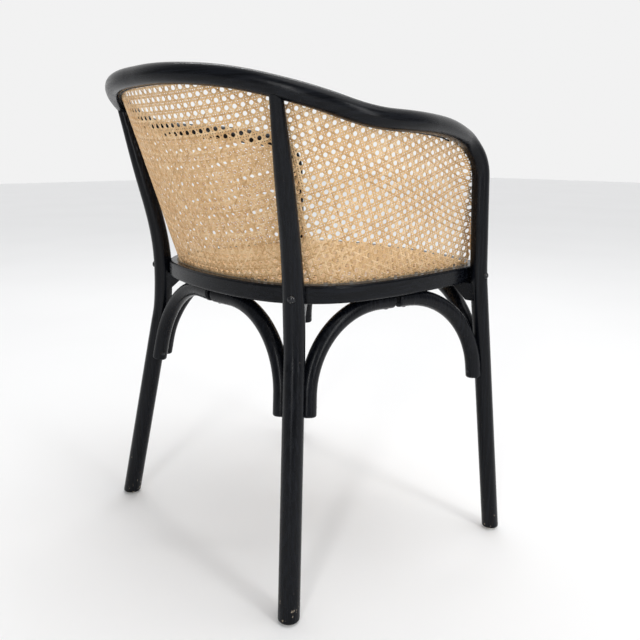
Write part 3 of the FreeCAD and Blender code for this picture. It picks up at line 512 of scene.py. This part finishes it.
def close_weave(name, form, node):
    """Gives a finished weave its strand thickness and makes it a piece of the chair."""
    mesh = bpy.data.meshes.new(name)
    form.to_mesh(mesh)
    form.free()
    mesh.shade_smooth()
    mesh.materials.append(cane)
    weave = bpy.data.objects.new(name, mesh)
    bpy.context.scene.collection.objects.link(weave)
    thicken = weave.modifiers.new("strand_thickness", "SOLIDIFY")
    thicken.thickness = STRAND_THICKNESS
    thicken.offset = 0.0
    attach(weave, "root")
    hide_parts(node)


def new_weave():
    """An empty weave with its strand colour and strand length layers."""
    form = bmesh.new()
    tint_layer = form.verts.layers.float.new("strand_tint")
    run_layer = form.verts.layers.float_vector.new("strand_run")
    return form, tint_layer, run_layer


left_rim = ring_outline(SEAT_RIM_INSET)
seat_rim = left_rim + [Vector((-point.x, point.y)) for point in reversed(left_rim)]
seat_forms = {"pair": new_weave(), "slant": new_weave()}
UP = Vector((0, 0, 1))
for number, (kind, origin, heading, other) in enumerate(
        strand_families((-0.23, -0.29), (0.23, 0.18))):
    far = heading * 2.0
    crossings = []
    for rim_a, rim_b in zip(seat_rim, seat_rim[1:] + seat_rim[:1]):
        hit = intersect_line_line_2d(origin - far, origin + far, rim_a, rim_b)
        if hit is not None:
            crossings.append((hit - origin).dot(heading) / heading.length_squared)
    if len(crossings) < 2 or max(crossings) - min(crossings) < SHORTEST_SEAT_STRAND:
        continue
    stops = strand_stops(kind, min(crossings), max(crossings))
    across = Vector((-heading.y, heading.x, 0)).normalized()
    points = []
    for stop in stops:
        flat = origin + heading * stop
        points.append(Vector((flat.x, flat.y, SEAT_LEVEL + weave_height(kind, stop, other))))
    points[0].z = SEAT_LEVEL
    points[-1].z = SEAT_LEVEL
    points = [points[0] - UP * SEAT_GROOVE_DEPTH] + points + [points[-1] - UP * SEAT_GROOVE_DEPTH]
    travel = [stops[0] - SEAT_GROOVE_DEPTH] + stops + [stops[-1] + SEAT_GROOVE_DEPTH]
    width = PAIR_WIDTH if kind == "pair" else SLANT_WIDTH
    form, tints, runs = seat_forms[kind]
    lay_strand(form, tints, runs, tint_of(number), points, [across] * len(points), width, travel)
close_weave("seat_weave_pairs", seat_forms["pair"][0], "seat_cane")
close_weave("seat_weave_slants", seat_forms["slant"][0], "seat_cane")

# Back cane. One woven sheet wrapped round the back and both sides. Its foot is
# pressed into the ring's outer groove and its top edge is held under the arms
# and the crest. It is woven flat, pulled to its shape and bent round the chair.
HOOP_HALF = [
    (0.266, -0.2205, 0.0), None,
    (0.231, -0.1895, 0.614), (0.229, -0.158, 0.6465), (0.262, -0.075, 0.6625),
    (0.287, 0.020, 0.6675), (0.2815, 0.0935, 0.670), (0.2475, 0.160, 0.6945),
    (0.1685, 0.225, 0.720), (0.069, 0.2655, 0.7295)]
HOOP_RADIUS = 0.0135
ROD_CLEARANCE = 0.0003
FRONT_LEG_BEARING = math.radians(-8.7)
SEAT_BOLT_HEIGHT = 0.437
BEND_SHARE = 0.48
END_BEND_RADIUS = 0.600
ROD_STEP = 0.002
ROD_PARTS = 4000
GROOVE_INSET = 0.017
GROOVE_TOP = 0.450
CANE_FRONT_Y = -0.210
POST_CANE_HEIGHT = 0.490
POST_FAN = 0.07
POST_FAN_REACH = 0.03
CANE_RAIL_GAP = 0.001
CANE_INWARD_PULL = 0.75
SHEET_TUCK = 0.0022
WRAP_LINES = 500
WRAP_PARTS = 3
SEARCH_STEP = 0.0015
EDGE_HALVINGS = 4
SHORTEST_BACK_STRAND = 0.003
HEADING_STEP = 0.0005


def front_seat_point():
    """Where the rod passes the ring at the front bolt."""
    reach = SIDE_ARC + HOOP_RADIUS + ROD_CLEARANCE
    return Vector((RING_SIDE_X - SIDE_ARC + reach * math.cos(FRONT_LEG_BEARING),
                   RING_WIDEST_Y + reach * math.sin(FRONT_LEG_BEARING), SEAT_BOLT_HEIGHT))


def rod_line(corners, share):
    """The middle line of the bent rod: straight runs and the arcs that round them."""
    line = [corners[0]]
    for before, corner, after in zip(corners, corners[1:], corners[2:]):
        back_way = before - corner
        on_way = after - corner
        tangent = share * min(back_way.length, on_way.length)
        back_way.normalize()
        on_way.normalize()
        turn = math.pi - back_way.angle(on_way)
        if corner is corners[1] or corner is corners[-2]:
            tangent = END_BEND_RADIUS * math.tan(turn / 2)
        radius = tangent / math.tan(turn / 2)
        middle = corner + (back_way + on_way).normalized() * (radius / math.cos(turn / 2))
        first = corner + back_way * tangent - middle
        last = corner + on_way * tangent - middle
        steps = max(int(turn * radius / ROD_STEP), 4)
        for step in range(steps + 1):
            share_of_turn = step / steps
            line.append(middle + (first * math.sin((1 - share_of_turn) * turn)
                                  + last * math.sin(share_of_turn * turn)) / math.sin(turn))
    return line + [corners[-1]]


def even_steps(line, count):
    """The same line divided into steps of one length."""
    reached = [0.0]
    for a, b in zip(line, line[1:]):
        reached.append(reached[-1] + (b - a).length)
    found = []
    index = 0
    for step in range(count + 1):
        wanted = reached[-1] * step / count
        while index < len(line) - 2 and reached[index + 1] < wanted:
            index += 1
        span = reached[index + 1] - reached[index]
        found.append(line[index].lerp(line[index + 1], (wanted - reached[index]) / span))
    return found


hoop_left = [front_seat_point() if place is None else Vector(place) for place in HOOP_HALF]
hoop_corners = hoop_left + [Vector((-place.x, place.y, place.z)) for place in reversed(hoop_left)]
hoop_line = even_steps(rod_line(hoop_corners, BEND_SHARE), ROD_PARTS)
wrap_start = min(range(ROD_PARTS // 4),
                 key=lambda index: abs(hoop_line[index].z - POST_CANE_HEIGHT))
held_line = even_steps(hoop_line[wrap_start:ROD_PARTS + 1 - wrap_start], ROD_PARTS)


def rail_share(share):
    """How far along the rod the sheet is held, by how far round the ring its foot is.

    The sheet fans out up the posts, so the rod's share runs ahead of the ring's."""
    if share > 0.5:
        return 1 - rail_share(1 - share)
    fan = POST_FAN * (1 - math.exp(-share / POST_FAN_REACH))
    whole = POST_FAN * (1 - math.exp(-0.5 / POST_FAN_REACH))
    return share * (1 - 2 * whole) + fan


rail_line = [held_line[round(rail_share(index / WRAP_LINES) * ROD_PARTS)]
             for index in range(WRAP_LINES + 1)]
foot_half = [point for point in ring_outline(GROOVE_INSET) if point.y >= CANE_FRONT_Y]
foot_line = [Vector((point.x, point.y, GROOVE_TOP)) for point in reversed(foot_half)]
foot_line += [Vector((-point.x, point.y, GROOVE_TOP)) for point in foot_half[1:]]
foot_line = even_steps(foot_line, WRAP_LINES)

wrap_tops = []
for index, (foot, axis) in enumerate(zip(foot_line, rail_line)):
    along = (rail_line[min(index + 1, WRAP_LINES)] - rail_line[max(index - 1, 0)]).normalized()
    to_foot = foot - axis
    to_foot = (to_foot - along * to_foot.dot(along)).normalized()
    to_seat = Vector((-axis.x, -axis.y, 0))
    to_seat = (to_seat - along * to_seat.dot(along)).normalized()
    inward = (to_foot + to_seat * CANE_INWARD_PULL).normalized()
    wrap_tops.append(axis + inward * (HOOP_RADIUS + CANE_RAIL_GAP))


def third_corner(a, b, from_a, from_b, side):
    """The third corner of a flat triangle, by its distances from the other two."""
    base = b - a
    along = (from_a**2 - from_b**2 + base.length_squared) / (2 * base.length)
    aside = math.sqrt(max(from_a**2 - along**2, 0.0))
    unit = base.normalized()
    return a + unit * along + Vector((-unit.y, unit.x)) * aside * side


# The sheet laid out flat, worked outwards from the middle of the back
middle_line = WRAP_LINES // 2
flat_feet = [None] * (WRAP_LINES + 1)
flat_tops = [None] * (WRAP_LINES + 1)
flat_feet[middle_line] = Vector((0, 0))
flat_tops[middle_line] = Vector((0, (wrap_tops[middle_line] - foot_line[middle_line]).length))
for way, side in ((-1, 1), (1, -1)):
    index = middle_line
    while 0 <= index + way <= WRAP_LINES:
        following = index + way
        flat_feet[following] = third_corner(
            flat_feet[index], flat_tops[index],
            (foot_line[following] - foot_line[index]).length,
            (foot_line[following] - wrap_tops[index]).length, side)
        flat_tops[following] = third_corner(
            flat_feet[following], flat_tops[index],
            (wrap_tops[following] - foot_line[following]).length,
            (wrap_tops[following] - wrap_tops[index]).length, side)
        index = following


def pulled(even):
    """Where a place of the even weave lies once the wet sheet is pulled to its shape.

    The mesh is widest behind the seat, closes towards the arms and leans at the
    front. The powers of u keep both halves of the sheet alike."""
    u, v = even.x * 2, even.y * 2
    across = (u * (0.565 + 0.025 * v + 0.155 * v**2)
              + u**3 * (-0.196 - 0.216 * v - 0.438 * v**2)
              + u**5 * (0.305 + 0.118 * v) + u**7 * -0.094)
    up = (0.533 * v - 0.03 * v**2 + 0.029 * v**3
          + u**2 * (0.109 + 0.079 * v - 0.843 * v**2)
          + u**4 * (-0.275 + 0.521 * v + 1.408 * v**2)
          + u**6 * (0.107 - 0.697 * v))
    return Vector((across, up))


def side_of_line(index, place):
    """Signed distance of a flat place from one of the sheet's straight lines."""
    run = flat_tops[index] - flat_feet[index]
    away = place - flat_feet[index]
    return (run.x * away.y - run.y * away.x) / run.length


def place_on_back(place):
    """Where a flat place of the sheet lies on the chair, its outward side, whether
    the sheet reaches it, and how far round the sheet it is, in lines."""
    low, high = 0, WRAP_LINES
    if side_of_line(low, place) > SHEET_TUCK or side_of_line(high, place) < -SHEET_TUCK:
        return None
    while high - low > 1:
        middle = (low + high) // 2
        if side_of_line(middle, place) <= 0:
            low = middle
        else:
            high = middle
    before, beyond = side_of_line(low, place), side_of_line(high, place)
    share = before / (before - beyond) if before != beyond else 0.0
    flat_foot = flat_feet[low].lerp(flat_feet[high], share)
    flat_run = flat_tops[low].lerp(flat_tops[high], share) - flat_foot
    up = (place - flat_foot).dot(flat_run) / flat_run.length_squared
    foot = foot_line[low].lerp(foot_line[high], share)
    top = wrap_tops[low].lerp(wrap_tops[high], share)
    spot = foot.lerp(top, up)
    along = (foot_line[high] - foot_line[low]).lerp(wrap_tops[high] - wrap_tops[low], up)
    outward = (top - foot).cross(along).normalized()
    if outward.dot(Vector((spot.x, spot.y, 0))) < 0:
        outward.negate()
    length = (top - foot).length
    held = -SHEET_TUCK <= up * length and (up - 1) * length <= SHEET_TUCK
    return spot, outward, held, low + share


def is_held(origin, heading, here):
    """Whether a strand is on the sheet at a place along it.

    The limits stop the pull from folding strands from beyond the sheet back onto it."""
    even = origin + heading * here
    drop = even.x**2
    if abs(even.x) > 0.492 or not -0.014 - 0.75 * drop < even.y < 0.294 - 0.95 * drop:
        return False
    place = place_on_back(pulled(even))
    return place is not None and place[2]


def runs_on_back(origin, heading, reach):
    """The stretches of a strand that lie on the sheet, each carried to the sheet's edge."""
    count = int(reach / SEARCH_STEP)
    found = []
    start = None
    was_held = False
    for number in range(-count, count + 1):
        here = number * SEARCH_STEP
        held = is_held(origin, heading, here)
        if held != was_held:
            before = here - SEARCH_STEP
            on, off = (here, before) if held else (before, here)
            for halving in range(EDGE_HALVINGS):
                middle = (on + off) / 2
                if is_held(origin, heading, middle):
                    on = middle
                else:
                    off = middle
            if held:
                start = on
            elif on - start > SHORTEST_BACK_STRAND:
                found.append((start, on))
        was_held = held
    return found


back_forms = [new_weave() for part in range(WRAP_PARTS)]
flat_low = min(min(place.x, place.y) for place in flat_feet + flat_tops)
flat_high = max(max(place.x, place.y) for place in flat_feet + flat_tops)
for number, (kind, origin, heading, other) in enumerate(
        strand_families((flat_low, flat_low), (flat_high, flat_high))):
    for start, end in runs_on_back(origin, heading, flat_high - flat_low):
        points = []
        acrosses = []
        travel = []
        lines = []
        for stop in strand_stops(kind, start, end):
            spot = place_on_back(pulled(origin + heading * stop))
            if spot is None:
                continue
            ahead = place_on_back(pulled(origin + heading * (stop + HEADING_STEP))) or spot
            behind = place_on_back(pulled(origin + heading * (stop - HEADING_STEP))) or spot
            place, outward, _, line = spot
            tangent = (ahead[0] - behind[0]).normalized()
            points.append(place + outward * weave_height(kind, stop, other))
            acrosses.append(outward.cross(tangent).normalized())
            travel.append(stop)
            lines.append(line)
        if len(points) < 2:
            continue
        part = min(int(lines[len(lines) // 2] / WRAP_LINES * WRAP_PARTS), WRAP_PARTS - 1)
        form, tints, runs = back_forms[part]
        width = PAIR_WIDTH if kind == "pair" else SLANT_WIDTH
        lay_strand(form, tints, runs, tint_of(number), points, acrosses, width, travel)
for part, (form, tints, runs) in enumerate(back_forms):
    close_weave("back_weave_" + "abc"[part], form, "back_cane")
